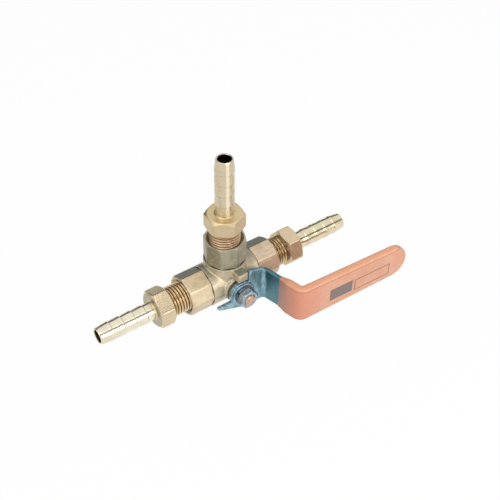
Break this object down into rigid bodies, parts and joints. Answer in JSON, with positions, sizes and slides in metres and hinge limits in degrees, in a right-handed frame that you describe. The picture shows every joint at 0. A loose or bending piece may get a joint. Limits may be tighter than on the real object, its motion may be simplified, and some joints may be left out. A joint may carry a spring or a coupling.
{
  "type": "three way valve",
  "caption": "Brass three way ball valve with an L port, screwed hose nipples and a cranked lever in a soft sleeve.",
  "frame": {"origin": "where the axes of the three ports and the stem cross, at the centre of the ball", "axes": "+Z along the branch port, X along the run with the lever pointing to +X at rest, -Y along the stem towards the lever"},
  "size_m": [0.1336, 0.0455, 0.0708],
  "materials": {
    "body_brass": "satin, as machined",
    "cap_brass": "satin, as machined",
    "nipple_brass": "bright turned",
    "stem_brass": "turned",
    "ball_chrome": "polished plating",
    "seat_plastic": "waxy white fluoroplastic",
    "ring_rubber": "matte black",
    "gasket_fibre": "dark pressed fibre",
    "lever_steel": "blue-passivated zinc plating",
    "sleeve_vinyl": "soft dipped vinyl, semi-gloss",
    "fastener_steel": "blue-passivated zinc plating"
  },
  "bodies": {
    "valve": {"valve_body": "body_brass", "end_cap_left": "cap_brass", "end_cap_right": "cap_brass", "end_cap_top": "cap_brass", "cap_gasket_left": "gasket_fibre", "cap_gasket_right": "gasket_fibre", "cap_gasket_top": "gasket_fibre", "ball_seat_left": "seat_plastic", "ball_seat_right": "seat_plastic", "ball_seat_top": "seat_plastic", "hose_nipple_left": "nipple_brass", "hose_nipple_right": "nipple_brass", "hose_nipple_top": "nipple_brass", "thrust_washer": "seat_plastic"},
    "handle": {"ball": "ball_chrome", "stem": "stem_brass", "stem_ring_inner": "ring_rubber", "stem_ring_outer": "ring_rubber", "lever": "lever_steel", "lever_sleeve": "sleeve_vinyl", "plain_washer": "fastener_steel", "spring_washer": "fastener_steel", "lever_nut": "fastener_steel"}
  },
  "joints": [
    {"name": "lever_turn", "type": "hinge", "parent": "valve", "child": "handle", "pos_m": [0, 0, 0], "axis": [0, 1, 0], "range_deg": [0, 90]}
  ]
}
